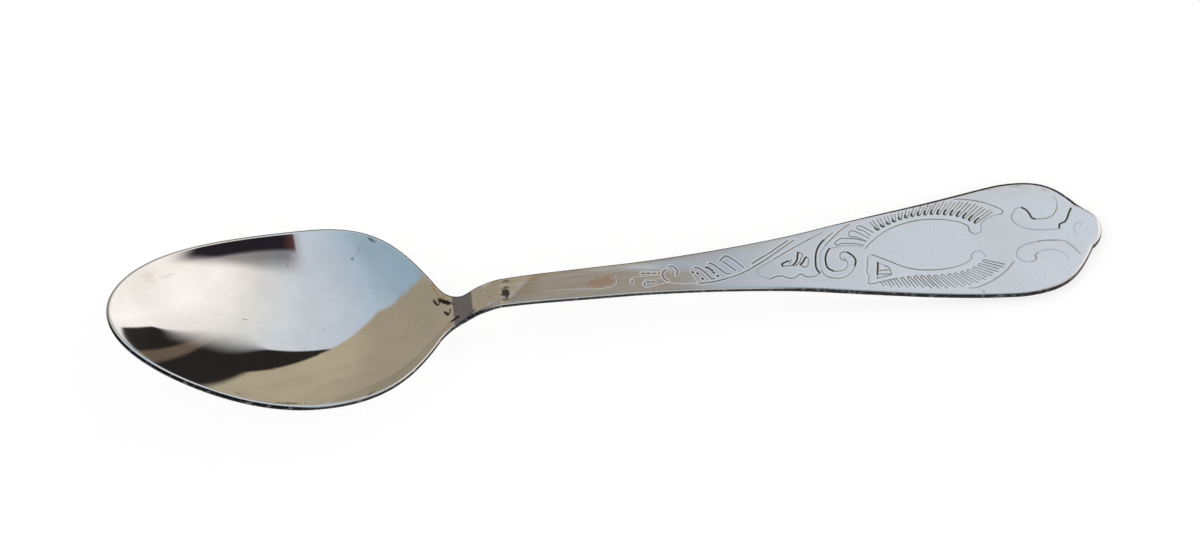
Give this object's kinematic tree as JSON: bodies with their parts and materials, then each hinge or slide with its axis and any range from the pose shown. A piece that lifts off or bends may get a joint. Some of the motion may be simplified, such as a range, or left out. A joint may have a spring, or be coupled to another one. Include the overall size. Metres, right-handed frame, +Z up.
{
  "type": "dessert spoon",
  "caption": "Dessert spoon with an egg-shaped bowl, a raised narrow neck, a slim stem and a flared handle plate that carries stamped scroll ornament and ends in a small lobe.",
  "frame": {"origin": "on the table under the middle of the spoon's length, on its middle line", "axes": "+X runs from the bowl tip to the handle tip, +Y is across the spoon, +Z points up out of the open bowl"},
  "size_m": [0.18, 0.04, 0.0173],
  "materials": {
    "bowl_mirror_polish": "mirror polish with fine use scratches",
    "shank_warm_polish": "polish with a faint warm tarnish",
    "plate_soft_polish": "soft polish with dark tarnish in the stamped lines"
  },
  "bodies": {
    "root": {"bowl": "bowl_mirror_polish", "neck": "shank_warm_polish", "stem": "shank_warm_polish", "handle_plate": "plate_soft_polish"}
  },
  "joints": []
}
